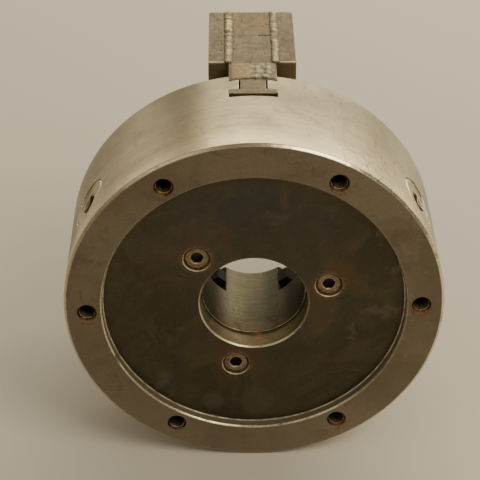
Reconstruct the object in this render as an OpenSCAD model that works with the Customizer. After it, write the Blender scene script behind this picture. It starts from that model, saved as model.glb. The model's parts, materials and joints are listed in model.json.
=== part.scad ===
// Three-jaw self-centring scroll chuck with welded block jaws.
// Millimetres. +Y runs from the rear mounting face to the jaws, +Z is up through jaw 1,
// and the origin is the centre of the rear mounting face.

/* [Body] */
// Outside diameter of the body
body_diameter = 200; // [160:1:250]
// Length of the body from the rear face to the front face
body_length = 74; // [66:0.5:90]
// Diameter of the recess that centres the chuck on its spindle flange
register_diameter = 160; // [120:1:200]
// Depth of that recess
register_depth = 5; // [3:0.5:8]
// Diameter of the hole right through the body
through_bore_diameter = 55; // [30:1:60]
// Outside diameter of the inner hub that the scroll turns on
hub_diameter = 100; // [90:1:104]

/* [Rear face holes] */
// Pitch circle of the tapped fixing holes
fixing_pitch_circle = 176; // [165:0.5:190]
// Number of tapped fixing holes
fixing_hole_count = 6; // [3:1:12]
// Diameter of the tapped holes inside the thread
fixing_hole_diameter = 8.5; // [5:0.1:12]
// Depth of the tapped holes
fixing_hole_depth = 22; // [10:1:30]
// Angle of the first tapped hole, anticlockwise seen from the rear
fixing_hole_angle = 1.3; // [0:0.1:5]

/* [Cover] */
// Thickness of the outer part of the rear cover
cover_thickness = 7; // [5:0.5:7.5]
// Thickness of the cover's inner boss
cover_boss_thickness = 12; // [10:0.5:13]
// Hole through the middle of the cover
cover_bore_diameter = 57; // [55.5:0.5:60]
// Radius of the circle that the cover screws stand on
cover_screw_radius = 41; // [38:0.5:42]
// Angle of the first cover screw, anticlockwise seen from the rear
cover_screw_angle = 16.5; // [14:0.5:17]

/* [Pinions] */
// Distance of the pinion axes from the rear face
pinion_depth = 26.5; // [26:0.5:27]
// Diameter of the pinion holes in the rim
pinion_bore_diameter = 28; // [27.95:0.05:28.4]
// Width of the square key socket
key_square = 10; // [8:0.5:12]
// Depth of the key socket
key_depth = 16; // [8:0.5:17]

/* [Scroll] */
// Rise of the spiral in one turn
scroll_pitch = 8; // [7.5:0.5:8.5]
// Width of the spiral ridge
ridge_width = 3.5; // [3:0.1:3.6]
// Height of the spiral ridge and of the jaw teeth
tooth_height = 3.3; // [2.5:0.1:3.3]

/* [Jaws] */
// Width of the jaw foot and of the jaw body
jaw_width = 25.4; // [20:0.2:25.6]
// Width of the jaw between its two side grooves
jaw_neck_width = 13.6; // [10:0.2:14.4]
// Distance of the inner end of the jaws from the axis
jaw_inner_radius = 38; // [36:0.5:44]
// Distance of the outer end of the jaws from the axis
jaw_outer_radius = 99.6; // [96:0.2:99.8]
// Distance from the rear face to the end of the jaw proper
jaw_end = 120; // [105:0.5:130]
// Distance from the rear face to the end of the welded blocks
block_end = 150.5; // [135:0.5:160]
// Distance from the rear face to the start of the side blocks
block_start = 88.5; // [80:0.5:95]
// Thickness of each side block
side_block_thickness = 11; // [8:0.5:14]

/* [Hidden] */
$fn = 96;
eps = 0.01;
running_gap = 0.05;
body_r = body_diameter / 2;
register_r = register_diameter / 2;
cavity_r = register_r - 0.6;
bore_r = through_bore_diameter / 2;
hub_r = hub_diameter / 2;
hub_start = register_depth + cover_boss_thickness;
// Levels along the axis, measured from the rear face
slot_floor = 49.95;
foot_back = slot_floor + 3.55;
rib_start = 58.2;
rib_end = 68;
scroll_front = slot_floor - 0.15;
ridge_top = scroll_front + tooth_height;
tooth_tip = foot_back - tooth_height;
// Bevel gears: every tooth line runs to one apex on the chuck axis
pinion_teeth = 10;
scroll_teeth = 60;
gear_ratio = scroll_teeth / pinion_teeth;
pressure_angle = 25;
gear_inner = 58.5;
gear_outer = 72;
scroll_r = register_r - 1.7;
counterbore_diameter = 14.2;
screw_face = register_depth + 1.3;
spiral_start = 52.2;
spiral_turn = 1090;
jaw_angles = [90, 210, 330];
pinion_angles = [30, 150, 270];
steel = [0.52, 0.50, 0.46];
dark_steel = [0.22, 0.20, 0.17];
bright_steel = [0.68, 0.66, 0.60];
weld_grey = [0.60, 0.58, 0.53];

// Lays the chuck axis, modelled along z, along the +Y direction.
module lay_down() {
    rotate([-90, 0, 0]) children();
}

// Turns a radial feature, modelled along x, to an angle seen from the rear.
module at_angle(a) {
    rotate([0, 0, -a]) children();
}

// A cylinder along the radius, from one distance from the axis to another.
module radial_cylinder(from_r, to_r, radius) {
    translate([from_r, 0, pinion_depth]) rotate([0, 90, 0])
        cylinder(r = radius, h = to_r - from_r);
}

// A block given by radius, half width and axial level.
module radial_block(from_r, to_r, half, from_z, to_z) {
    translate([from_r, -half, from_z]) cube([to_r - from_r, 2 * half, to_z - from_z]);
}

// The pot-shaped turned body before slots and holes are cut.
module body_turning() {
    rotate_extrude($fn = 180) polygon([
        [register_r + 0.8, 0], [body_r - 1.3, 0], [body_r, 1.3], [body_r, body_length - 1.5],
        [body_r - 1.5, body_length], [bore_r + 1, body_length], [bore_r, body_length - 1],
        [bore_r, hub_start], [hub_r, hub_start], [hub_r, foot_back - 0.1],
        [cavity_r, foot_back - 0.1], [cavity_r, register_depth],
        [register_r, register_depth], [register_r, 0.8]]);
}

// The guideway of one jaw: wide foot slot, narrow neck between ribs, wide upper slot.
module guideway() {
    radial_block(0, body_r + 1, jaw_width / 2 + 0.05, slot_floor, rib_start);
    radial_block(0, body_r + 1, 7.6, rib_start - eps, rib_end + eps);
    radial_block(0, body_r + 1, jaw_width / 2 + 0.1, rib_end, body_length + 1);
}

module chuck_body() {
    color(steel) lay_down() difference() {
        body_turning();
        for (a = jaw_angles) at_angle(a) guideway();
        for (a = pinion_angles) at_angle(a) {
            radial_cylinder(cavity_r - 3, body_r + 1, pinion_bore_diameter / 2);
            radial_cylinder(45, 55, 6.05);
        }
        for (i = [0 : fixing_hole_count - 1]) at_angle(fixing_hole_angle + i * 360 / fixing_hole_count)
            translate([fixing_pitch_circle / 2, 0, 0]) {
                translate([0, 0, -1]) cylinder(d = fixing_hole_diameter, h = fixing_hole_depth + 1, $fn = 48);
                translate([0, 0, -0.1]) cylinder(d1 = fixing_hole_diameter + 2.2,
                    d2 = fixing_hole_diameter, h = 1.1, $fn = 48);
            }
        for (i = [0 : 2]) at_angle(cover_screw_angle + 120 * i)
            translate([cover_screw_radius, 0, hub_start - 1]) cylinder(r = 4, h = 18, $fn = 48);
    }
}

module back_cover() {
    color(dark_steel) lay_down() difference() {
        union() {
            rotate_extrude($fn = 180) polygon([
                [cover_bore_diameter / 2 + 0.8, register_depth], [cavity_r - 0.2, register_depth],
                [cavity_r - 0.05, register_depth + 0.15],
                [cavity_r - 0.05, register_depth + cover_thickness],
                [hub_r - 1, register_depth + cover_thickness], [hub_r - 1, hub_start],
                [cover_bore_diameter / 2, hub_start],
                [cover_bore_diameter / 2, register_depth + 0.8]]);
            // Support ring behind the scroll, cut away at the pinions below
            rotate_extrude($fn = 180) polygon([
                [75.2, register_depth + cover_thickness - 1],
                [cavity_r - 0.05, register_depth + cover_thickness - 1],
                [cavity_r - 0.05, 37.9], [75.2, 37.9]]);
        }
        for (a = pinion_angles) at_angle(a) {
            radial_cylinder(70, body_r, 14.3);
            translate([70, -14.3, pinion_depth]) cube([12, 28.6, 20]);
            retaining_pin_hole();
        }
        for (i = [0 : 2]) at_angle(cover_screw_angle + 120 * i)
            translate([cover_screw_radius, 0, 0]) {
                translate([0, 0, register_depth - 1]) cylinder(d = counterbore_diameter, h = 9.7, $fn = 64);
                translate([0, 0, register_depth - 0.1]) cylinder(d1 = counterbore_diameter + 1,
                    d2 = counterbore_diameter, h = 0.5, $fn = 64);
                cylinder(d = 9, h = hub_start + 1, $fn = 48);
            }
    }
}

module retaining_pin_hole() {
    translate([74.8, 10.3, 7]) cylinder(r = 2.5, h = 30, $fn = 32);
}

module cover_screws() {
    color(bright_steel) lay_down()
        for (i = [0 : 2]) at_angle(cover_screw_angle + 120 * i)
            translate([cover_screw_radius, 0, 0]) difference() {
                rotate_extrude($fn = 64) polygon([
                    [0, screw_face], [5.9, screw_face],
                    [6.5, screw_face + 0.6], [6.5, register_depth + 8.7],
                    [3.95, register_depth + 8.7], [3.95, hub_start + 15.4],
                    [3.35, hub_start + 16], [0, hub_start + 16]]);
                translate([0, 0, register_depth]) rotate([0, 0, 12])
                    cylinder(d = 6 / cos(30), h = 5.3, $fn = 6);
                translate([0, 0, screw_face - 0.1]) cylinder(d1 = 7.5, d2 = 6, h = 0.75, $fn = 48);
            }
}

// One tapered tooth space of the scroll's bevel gear, pointing along the radius.
module tooth_space() {
    r1 = gear_inner - 1.2;
    r2 = gear_outer + 3;
    t = tan(pressure_angle);
    // Half widths and levels for a module of one, scaled with the radius
    open_half = 0.855 + 1.3 * t;
    root_half = 0.855 - 1.0 * t;
    function level(r, k) = pinion_depth + r / gear_ratio + k * r / 30;
    polyhedron(points = [
        [r1, -open_half * r1 / 30, level(r1, -1.3)], [r1, open_half * r1 / 30, level(r1, -1.3)],
        [r1, root_half * r1 / 30, level(r1, 1)], [r1, -root_half * r1 / 30, level(r1, 1)],
        [r2, -open_half * r2 / 30, level(r2, -1.3)], [r2, open_half * r2 / 30, level(r2, -1.3)],
        [r2, root_half * r2 / 30, level(r2, 1)], [r2, -root_half * r2 / 30, level(r2, 1)]],
        faces = [[0, 1, 2, 3], [7, 6, 5, 4], [0, 4, 5, 1], [1, 5, 6, 2], [2, 6, 7, 3], [3, 7, 4, 0]]);
}

// Outline of the spiral ridge, one edge outwards and back along the other.
function spiral_r(a) = spiral_start + scroll_pitch * a / 360;
spiral_outline = concat(
    [for (a = [0 : 5 : spiral_turn]) [(spiral_r(a) + ridge_width / 2) * cos(a),
        (spiral_r(a) + ridge_width / 2) * sin(a)]],
    [for (a = [spiral_turn : -5 : 0]) [(spiral_r(a) - ridge_width / 2) * cos(a),
        (spiral_r(a) - ridge_width / 2) * sin(a)]]);

module scroll_plate() {
    tip_inner = pinion_depth + 57 / gear_ratio - 0.8 * 57 / 30;
    tip_outer = pinion_depth + 73.5 / gear_ratio - 0.8 * 73.5 / 30;
    color(steel) lay_down() {
        difference() {
            rotate_extrude($fn = 180) polygon([
                [hub_r + running_gap, tip_inner - 0.4], [56, tip_inner - 0.4], [57, tip_inner],
                [73.5, tip_outer], [74.2, 38], [scroll_r, 38], [scroll_r, scroll_front],
                [hub_r + running_gap, scroll_front]]);
            for (i = [0 : scroll_teeth - 1]) rotate([0, 0, i * 360 / scroll_teeth]) tooth_space();
        }
        translate([0, 0, scroll_front - 1]) linear_extrude(height = ridge_top - scroll_front + 1)
            polygon(spiral_outline);
    }
}

// Involute of a base circle, as a point at a given radius, turned so the tooth is centred on x.
function inv_deg(r, base) = tan(acos(base / r)) * 180 / PI - acos(base / r);
function flank(r, base, half) = half - inv_deg(r, base);

// Gear outline for a pitch radius; teeth are slightly thinned for backlash.
module pinion_outline(pitch_r) {
    m = 2 * pitch_r / pinion_teeth;
    base = pitch_r * cos(pressure_angle);
    tip = pitch_r + 0.8 * m;
    half = 90 / pinion_teeth - 0.8 + inv_deg(pitch_r, base);
    steps = 5;
    radii = [for (i = [0 : steps]) base + 0.001 + (tip - base - 0.001) * i / steps];
    union() {
        circle(r = pitch_r - m, $fn = 60);
        for (k = [0 : pinion_teeth - 1]) rotate([0, 0, k * 360 / pinion_teeth])
            polygon(concat([[pitch_r - 1.3 * m, 0]],
                [[(pitch_r - 1.2 * m) * cos(-half), (pitch_r - 1.2 * m) * sin(-half)]],
                [for (r = radii) [r * cos(-flank(r, base, half)), r * sin(-flank(r, base, half))]],
                [for (i = [steps : -1 : 0]) let (r = radii[i])
                    [r * cos(flank(r, base, half)), r * sin(flank(r, base, half))]],
                [[(pitch_r - 1.2 * m) * cos(half), (pitch_r - 1.2 * m) * sin(half)]]));
    }
}

// Bevel pinion along the radius: inner journal, gear, neck, shoulder and head with key socket.
module pinion(a) {
    color(bright_steel) lay_down() at_angle(a) difference() {
        union() {
            translate([0, 0, pinion_depth]) rotate([0, 90, 0]) translate([0, 0, gear_inner])
                linear_extrude(height = gear_outer - gear_inner, scale = gear_outer / gear_inner)
                    pinion_outline(gear_inner / gear_ratio);
            radial_cylinder(45.4, gear_inner + 1, 6);
            radial_cylinder(gear_outer - 1, 78, 7.5);
            radial_cylinder(77.6, 80.5, 11);
            translate([80.2, 0, pinion_depth]) rotate([0, 90, 0]) rotate_extrude($fn = 96) polygon([
                [0, 0], [13.95, 0], [13.95, 18.2], [12.9, 19.2], [10.6, 19.2], [10.3, 18.9],
                [0, 18.9]]);
        }
        // The square stands on its corner with the jaws where they are modelled
        translate([99.5 - key_depth, 0, pinion_depth]) rotate([45, 0, 0])
            translate([0, -key_square / 2, -key_square / 2]) cube([key_depth + 2, key_square, key_square]);
        translate([98.1, 0, pinion_depth]) rotate([0, 90, 0])
            cylinder(r1 = 5.1, r2 = 7.7, h = 2.2, $fn = 64);
    }
}

module pinion_1() { pinion(pinion_angles[0]); }
module pinion_2() { pinion(pinion_angles[1]); }
module pinion_3() { pinion(pinion_angles[2]); }

module pinion_retaining_pins() {
    color(bright_steel) lay_down()
        for (a = pinion_angles) at_angle(a)
            translate([74.8, 10.3, 7.2]) cylinder(r = 2.47, h = 23, $fn = 32);
}

// One crescent tooth: round enough outside for the smallest turn of the spiral,
// flat enough inside for the largest, and leaning with the spiral's rise.
module jaw_tooth(r) {
    lean = scroll_pitch / 360 * 180 / PI;
    intersection() {
        radial_block(r - 8, r + 8, jaw_width / 2, tooth_tip, foot_back + 1);
        translate([r + 1.8 - 50, lean * 50 / 65, tooth_tip - 1]) cylinder(r = 50, h = 20, $fn = 180);
        difference() {
            radial_block(r - 8, r + 8, jaw_width / 2 + 1, tooth_tip - 1, foot_back + 2);
            translate([r - 1.8 - 85, lean * 85 / 65, tooth_tip - 2]) cylinder(r = 85, h = 20, $fn = 180);
        }
    }
}

// Weld preparation along one outer edge of the jaw stack.
module weld_groove(s, from_z) {
    translate([jaw_outer_radius, s * jaw_width / 2, from_z]) rotate([0, 0, 45])
        translate([-1.41, -1.41, 0]) cube([2.82, 2.82, block_end + 2 - from_z]);
}

// Jaw proper: toothed foot, grooved neck and rectangular body.
module jaw(k) {
    half = jaw_width / 2;
    first = spiral_start + scroll_pitch * (0.5 - jaw_angles[k] / 360);
    lay_down() at_angle(jaw_angles[k]) {
        for (n = [-3 : 6]) {
            r = first + scroll_pitch * n;
            if (r > 41.5 && r < 89.5) jaw_tooth(r);
        }
        difference() {
            radial_block(jaw_inner_radius, jaw_outer_radius, half, foot_back, jaw_end);
            for (s = [-1, 1]) {
                // Side grooves for the ribs of the body
                translate([jaw_inner_radius - 1, s > 0 ? jaw_neck_width / 2 : -half - 1, rib_start - 0.1])
                    cube([70, half + 1 - jaw_neck_width / 2, rib_end - rib_start + 0.2]);
                weld_groove(s, block_start);
            }
        }
    }
}

module jaw_extension(k) {
    half = jaw_width / 2;
    lay_down() at_angle(jaw_angles[k]) difference() {
        radial_block(jaw_inner_radius, jaw_outer_radius, half, jaw_end, block_end);
        for (s = [-1, 1]) weld_groove(s, block_start);
        // Open end of the seam to the jaw, where the two were not welded over
        translate([jaw_outer_radius, 3.6, jaw_end]) rotate([0, 45, 0])
            translate([-0.85, 0, -0.85]) cube([1.7, half, 1.7]);
    }
}

module jaw_side_blocks(k) {
    half = jaw_width / 2;
    lay_down() at_angle(jaw_angles[k])
        for (s = [-1, 1]) difference() {
            translate([jaw_inner_radius, s > 0 ? half : -half - side_block_thickness, block_start])
                cube([jaw_outer_radius - jaw_inner_radius, side_block_thickness, block_end - block_start]);
            weld_groove(s, block_start - 1);
            // Rounded-off outer corner at the far end
            translate([0, s * (half + side_block_thickness), block_end]) rotate([45, 0, 0])
                translate([jaw_inner_radius - 1, -0.9, -0.9]) cube([70, 1.8, 1.8]);
        }
}

// Weld metal: a bead in each groove and a built-up patch on the jaw's outer end.
module jaw_welds(k) {
    half = jaw_width / 2;
    lay_down() at_angle(jaw_angles[k]) {
        for (s = [-1, 1]) translate([jaw_outer_radius, s * half, block_start])
            linear_extrude(height = block_end - block_start + 0.8)
                polygon([[-1.99, 0], [0, -1.99], [0.7, -1.7], [1.2, -0.8], [1.3, 0], [1.2, 0.8],
                    [0.7, 1.7], [0, 1.99]]);
        radial_block(jaw_outer_radius, jaw_outer_radius + 1.1, half - 0.4, rib_end + 0.5, block_start - 1.5);
    }
}

module jaw_1() { color(steel) jaw(0); }
module jaw_2() { color(steel) jaw(1); }
module jaw_3() { color(steel) jaw(2); }
module jaw_1_extension() { color(steel) jaw_extension(0); }
module jaw_2_extension() { color(steel) jaw_extension(1); }
module jaw_3_extension() { color(steel) jaw_extension(2); }
module jaw_1_side_blocks() { color(steel) jaw_side_blocks(0); }
module jaw_2_side_blocks() { color(steel) jaw_side_blocks(1); }
module jaw_3_side_blocks() { color(steel) jaw_side_blocks(2); }
module jaw_1_welds() { color(weld_grey) jaw_welds(0); }
module jaw_2_welds() { color(weld_grey) jaw_welds(1); }
module jaw_3_welds() { color(weld_grey) jaw_welds(2); }

chuck_body();
back_cover();
cover_screws();
scroll_plate();
pinion_1();
pinion_2();
pinion_3();
pinion_retaining_pins();
jaw_1();
jaw_1_extension();
jaw_1_side_blocks();
jaw_1_welds();
jaw_2();
jaw_2_extension();
jaw_2_side_blocks();
jaw_2_welds();
jaw_3();
jaw_3_extension();
jaw_3_side_blocks();
jaw_3_welds();
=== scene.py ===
import json
import math
from collections import namedtuple

import bmesh
import bpy
import numpy as np
from mathutils import Euler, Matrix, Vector


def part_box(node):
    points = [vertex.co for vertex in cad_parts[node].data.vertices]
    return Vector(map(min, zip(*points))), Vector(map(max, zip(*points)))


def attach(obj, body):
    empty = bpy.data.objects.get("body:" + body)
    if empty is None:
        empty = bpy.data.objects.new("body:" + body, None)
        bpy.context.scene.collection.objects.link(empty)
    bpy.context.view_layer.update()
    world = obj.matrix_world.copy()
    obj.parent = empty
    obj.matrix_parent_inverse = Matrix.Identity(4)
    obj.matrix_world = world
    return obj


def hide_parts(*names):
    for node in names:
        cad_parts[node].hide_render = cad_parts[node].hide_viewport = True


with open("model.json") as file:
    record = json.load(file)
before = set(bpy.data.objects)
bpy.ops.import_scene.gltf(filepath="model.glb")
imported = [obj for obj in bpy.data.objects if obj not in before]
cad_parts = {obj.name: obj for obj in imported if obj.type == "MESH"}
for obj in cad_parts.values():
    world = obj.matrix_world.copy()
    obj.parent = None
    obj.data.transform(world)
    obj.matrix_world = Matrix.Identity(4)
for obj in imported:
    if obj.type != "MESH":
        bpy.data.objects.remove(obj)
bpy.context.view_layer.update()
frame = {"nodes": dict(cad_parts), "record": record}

bl_info = {
    "name": "Scroll chuck finish",
    "version": (1, 0, 0),
    "blender": (4, 5, 0),
    "location": "View3D > Sidebar > Chuck",
    "description": "Finishes, welds, threads and stage for a three-jaw scroll chuck",
    "category": "Object",
}

# Sizes read from the frame, in metres. The chuck's axis is Y, from the rear face to the jaws.
BODY_LOW, BODY_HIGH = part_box("chuck_body")
COVER_LOW, COVER_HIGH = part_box("back_cover")
BLOCK_LOW, BLOCK_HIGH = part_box("jaw_1_side_blocks")
JAW_LOW, JAW_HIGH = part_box("jaw_1")
WELD_LOW, WELD_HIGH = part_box("jaw_1_welds")
SCREW_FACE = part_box("cover_screws")[0].y
RIM_RADIUS = (BODY_HIGH.x - BODY_LOW.x) / 2
BODY_LENGTH = BODY_HIGH.y
COVER_RADIUS = (COVER_HIGH.x - COVER_LOW.x) / 2
COVER_FACE = COVER_LOW.y
JAW_ANGLES = (90, 210, 330)
PINION_ANGLES = (30, 150, 270)
MOUNTS = {m["name"]: m for m in frame["record"]["mounts"]}
REGISTER_RADIUS = MOUNTS["spindle_register"]["dims"]["r_mm"] / 1000
HOLE_CIRCLE = MOUNTS["fixing_bolts"]["dims"]["pcd_mm"] / 2000
HOLE_RADIUS = MOUNTS["fixing_bolts"]["dims"]["hole_r_mm"] / 1000
HOLE_COUNT = 6
HOLE_TURN = 1.3
HOLE_DEPTH = 0.030
HOLE_MOUTH = 0.0053          # radius of a tapped hole's countersunk mouth
SCREW_CIRCLE = 0.041
SCREW_COUNT = 3
SCREW_TURN = 16.5
SCREW_SEAT = 0.0071          # radius of the recess that a screw head sits in
SCREW_SOCKET = 0.0034        # radius of the hexagon socket in a screw head
BODY_BORE = 0.0290           # radius where the body's turned bore ends
COVER_BORE = MOUNTS["cover_bore"]["dims"]["r_mm"] / 1000
WAY_HALF_WIDTH = 0.0130      # a jaw guideway's neck
WAY_REAR = 0.0495            # depth at which the guideways begin
PINION_SOCKET = 0.0070       # reach of the square socket painted dark as shade in a pinion's head
PINION_HEAD = 0.0128
CROWN_HEIGHT = 0.0013        # how far weld metal stands proud where its painted highlight is brightest


# ---------------------------------------------------------------- node helpers

Place = namedtuple("Place", "radius depth height side")


class Nodes:
    """Adds and links shader nodes in one node tree."""

    def __init__(self, tree):
        self.tree = tree

    def put(self, socket, value):
        if isinstance(value, bpy.types.NodeSocket):
            self.tree.links.new(value, socket)
        elif socket.type == "RGBA" and len(value) == 3:
            socket.default_value = (*value, 1.0)
        else:
            socket.default_value = value

    def add(self, kind, inputs=None, **settings):
        node = self.tree.nodes.new(kind)
        for key, value in settings.items():
            setattr(node, key, value)
        for key, value in (inputs or {}).items():
            self.put(node.inputs[key], value)
        return node

    def math(self, operation, a, b=0.0, clamp=False):
        node = self.add("ShaderNodeMath", {0: a, 1: b}, operation=operation, use_clamp=clamp)
        return node.outputs[0]

    def chain(self, operation, first, others):
        for other in others:
            first = self.math(operation, first, other)
        return first

    def times(self, first, *others):
        return self.chain("MULTIPLY", first, others)

    def plus(self, first, *others):
        return self.chain("ADD", first, others)

    def less(self, first, *others):
        return self.chain("SUBTRACT", first, others)

    def most(self, first, *others):
        return self.chain("MAXIMUM", first, others)

    def absolute(self, value):
        return self.math("ABSOLUTE", value)

    def length(self, a, b):
        return self.math("SQRT", self.plus(self.times(a, a), self.times(b, b)))

    def dot(self, a, b):
        node = self.add("ShaderNodeVectorMath", {0: a, 1: b}, operation="DOT_PRODUCT")
        return node.outputs["Value"]

    def mix(self, share, a, b):
        node = self.add("ShaderNodeMix", {"Factor": share}, data_type="RGBA")
        self.put(node.inputs[6], a)
        self.put(node.inputs[7], b)
        return node.outputs[2]

    def tint(self, base, mask, share, shade):
        """Lays a shade over the base where the mask is one, at a share of its full strength."""
        return self.mix(self.times(mask, share), base, shade)

    def tints(self, base, *steps):
        for mask, share, shade in steps:
            base = self.tint(base, mask, share, shade)
        return base

    def blend(self, share, a, b):
        node = self.add("ShaderNodeMix", {0: share}, data_type="FLOAT")
        self.put(node.inputs[2], a)
        self.put(node.inputs[3], b)
        return node.outputs[0]

    def rise(self, value, low, high, start=0.0, end=1.0):
        node = self.add("ShaderNodeMapRange", {"Value": value, "From Min": low, "From Max": high,
                                               "To Min": start, "To Max": end},
                        interpolation_type="SMOOTHSTEP")
        return node.outputs[0]

    def fall(self, value, low, high):
        return self.rise(value, low, high, 1.0, 0.0)

    def band(self, value, low, high, soft):
        return self.times(self.rise(value, low - soft, low + soft),
                          self.fall(value, high - soft, high + soft))

    def noise(self, vector, scale, detail=3.0, roughness=0.55, distortion=0.0):
        node = self.add("ShaderNodeTexNoise", {"Vector": vector, "Scale": scale, "Detail": detail,
                                               "Roughness": roughness, "Distortion": distortion})
        return node.outputs[0]

    def coordinates(self, kind="Object"):
        return self.add("ShaderNodeTexCoord").outputs[kind]

    def split(self, vector):
        return self.add("ShaderNodeSeparateXYZ", {0: vector}).outputs

    def stretch(self, vector, scale=(1.0, 1.0, 1.0), rotation=(0.0, 0.0, 0.0)):
        return self.add("ShaderNodeMapping", {"Vector": vector, "Rotation": rotation,
                                              "Scale": scale}).outputs[0]

    def turned_up(self, angle):
        """Object coordinates turned so that what stands at an angle points up."""
        return self.stretch(self.coordinates(), rotation=(0.0, math.radians(angle - 90), 0.0))

    def group(self, name, *values):
        """Places a shared group; the values fill its inputs in their order."""
        node = self.add("ShaderNodeGroup", dict(enumerate(values)),
                        node_tree=bpy.data.node_groups[name])
        return node.outputs

    def place(self):
        return Place(*self.group("Chuck Place"))

    def lathe(self, fineness, around, detail):
        return self.group("Lathe Marks", fineness, around, detail)[0]

    def edges(self, width, reach, breakup):
        return self.group("Edge Wear", width, reach, breakup)

    def stains(self, scale, level, softness, warp):
        return self.group("Stains", scale, level, softness, warp)[0]

    def scratches(self, scale, width, sparse):
        return self.group("Scratches", scale, width, sparse)[0]

    def rust(self, scale, amount):
        return self.group("Rust", scale, amount)

    def pits(self, scale, size, sparse):
        return self.group("Pits", scale, size, sparse)[0]


def new_group(name, inputs, outputs):
    """An empty shader node group with number inputs and their defaults, and named outputs."""
    tree = bpy.data.node_groups.new(name, "ShaderNodeTree")
    kinds = {"Colour": "NodeSocketColor", "Normal": "NodeSocketVector"}
    for label, default in inputs.items():
        socket = tree.interface.new_socket(label, in_out="INPUT", socket_type="NodeSocketFloat")
        socket.default_value = default
    for label in outputs:
        kind = kinds.get(label, "NodeSocketFloat")
        tree.interface.new_socket(label, in_out="OUTPUT", socket_type=kind)
    n = Nodes(tree)
    return n, n.add("NodeGroupInput").outputs, n.add("NodeGroupOutput").inputs


def split_place(n):
    """x, y, z and the distance from the chuck's axis at each point."""
    place = n.split(n.coordinates())
    return place[0], place[1], place[2], n.length(place[0], place[2])


def build_place_group():
    """Where a point lies on the chuck: distance from the axis, depth, height and side."""
    n, _, out = new_group("Chuck Place", {}, ("Radius", "Depth", "Height", "Side"))
    x, y, z, radius = split_place(n)
    for socket, value in zip(out, (radius, y, z, x)):
        n.put(socket, value)


def build_lathe_group():
    """Fine rings left by turning and grinding: noise long around the axis and short across."""
    n, given, out = new_group("Lathe Marks", {"Fineness": 2000.0, "Around": 2.0, "Detail": 3.0},
                              ("Streaks",))
    x, y, z, radius = split_place(n)
    around = given["Around"]
    vector = n.add("ShaderNodeCombineXYZ", {
        0: n.times(n.math("DIVIDE", x, radius), around),
        1: n.times(n.math("DIVIDE", z, radius), around),
        2: n.times(n.plus(y, radius), given["Fineness"])}).outputs[0]
    n.put(out[0], n.noise(vector, 1.0, given["Detail"], 0.6))


def build_edge_group():
    """Worn edges: where a rounded normal leaves the flat one, broken up by noise."""
    n, given, out = new_group("Edge Wear", {"Width": 0.0008, "Reach": 0.12, "Breakup": 300.0},
                              ("Mask", "Normal"))
    bevel = n.add("ShaderNodeBevel", {"Radius": given["Width"]}, samples=6)
    flat = n.add("ShaderNodeNewGeometry").outputs["Normal"]
    turn = n.less(1.0, n.dot(bevel.outputs[0], flat))
    patchy = n.noise(n.coordinates(), given["Breakup"], 4.0, 0.65)
    edge = n.rise(turn, 0.004, given["Reach"])
    n.put(out[0], n.math("MULTIPLY", edge, n.rise(patchy, 0.32, 0.58), clamp=True))
    n.put(out[1], bevel.outputs[0])


def build_stain_group():
    """Blotches of oil, handling and heat: distorted noise cut at a level."""
    n, given, out = new_group("Stains", {"Scale": 30.0, "Level": 0.5, "Softness": 0.1, "Warp": 1.5},
                              ("Mask",))
    grain = n.noise(n.coordinates(), given["Scale"], 6.0, 0.62, given["Warp"])
    low = n.less(given["Level"], given["Softness"])
    high = n.plus(given["Level"], given["Softness"])
    n.put(out[0], n.rise(grain, low, high))


def build_scratch_group():
    """Thin scratches: the narrow band where stretched noise crosses its middle value."""
    n, given, out = new_group("Scratches", {"Scale": 40.0, "Width": 0.012, "Sparse": 0.56},
                              ("Mask",))
    place = n.coordinates()
    total = None
    for turn, stretch in (((0.4, 0.7, 0.3), (1.0, 7.0, 9.0)), ((1.1, -0.5, 0.9), (8.0, 1.0, 6.0))):
        moved = n.stretch(place, stretch, turn)
        lines = n.noise(moved, given["Scale"], 1.5, 0.5)
        near = n.absolute(n.less(lines, 0.5))
        line = n.fall(near, 0.0, given["Width"])
        some = n.rise(n.noise(moved, n.times(given["Scale"], 0.6), 2.0), given["Sparse"],
                      n.plus(given["Sparse"], 0.08))
        line = n.times(line, some)
        total = line if total is None else n.most(total, line)
    n.put(out[0], total)


def build_rust_group():
    """Rust colour from dark brown to orange, with a patchy mask."""
    n, given, out = new_group("Rust", {"Scale": 180.0, "Amount": 0.5}, ("Mask", "Colour"))
    place = n.coordinates()
    patch = n.noise(place, given["Scale"], 6.0, 0.7, 0.4)
    level = n.less(0.68, n.times(given["Amount"], 0.3))
    n.put(out[0], n.rise(patch, n.less(level, 0.08), n.plus(level, 0.08)))
    tone = n.rise(n.noise(place, n.times(given["Scale"], 2.3), 4.0, 0.6), 0.35, 0.68)
    n.put(out[1], n.mix(tone, (0.070, 0.026, 0.010), (0.36, 0.13, 0.035)))


def build_pit_group():
    """Small round pits and dents: cells whose centre is close, some of them only."""
    n, given, out = new_group("Pits", {"Scale": 500.0, "Size": 0.22, "Sparse": 0.6}, ("Mask",))
    place = n.coordinates()
    cell = n.add("ShaderNodeTexVoronoi", {"Vector": place, "Scale": given["Scale"],
                                          "Randomness": 1.0})
    pit = n.fall(cell.outputs["Distance"], n.times(given["Size"], 0.4), given["Size"])
    some = n.rise(n.noise(place, n.times(given["Scale"], 0.12), 3.0), given["Sparse"],
                  n.plus(given["Sparse"], 0.06))
    n.put(out[0], n.times(pit, some))


def build_groups():
    """Makes the shared groups once, before the first material."""
    if "Chuck Place" not in bpy.data.node_groups:
        for build in (build_place_group, build_lathe_group, build_edge_group, build_stain_group,
                      build_scratch_group, build_rust_group, build_pit_group):
            build()


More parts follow.
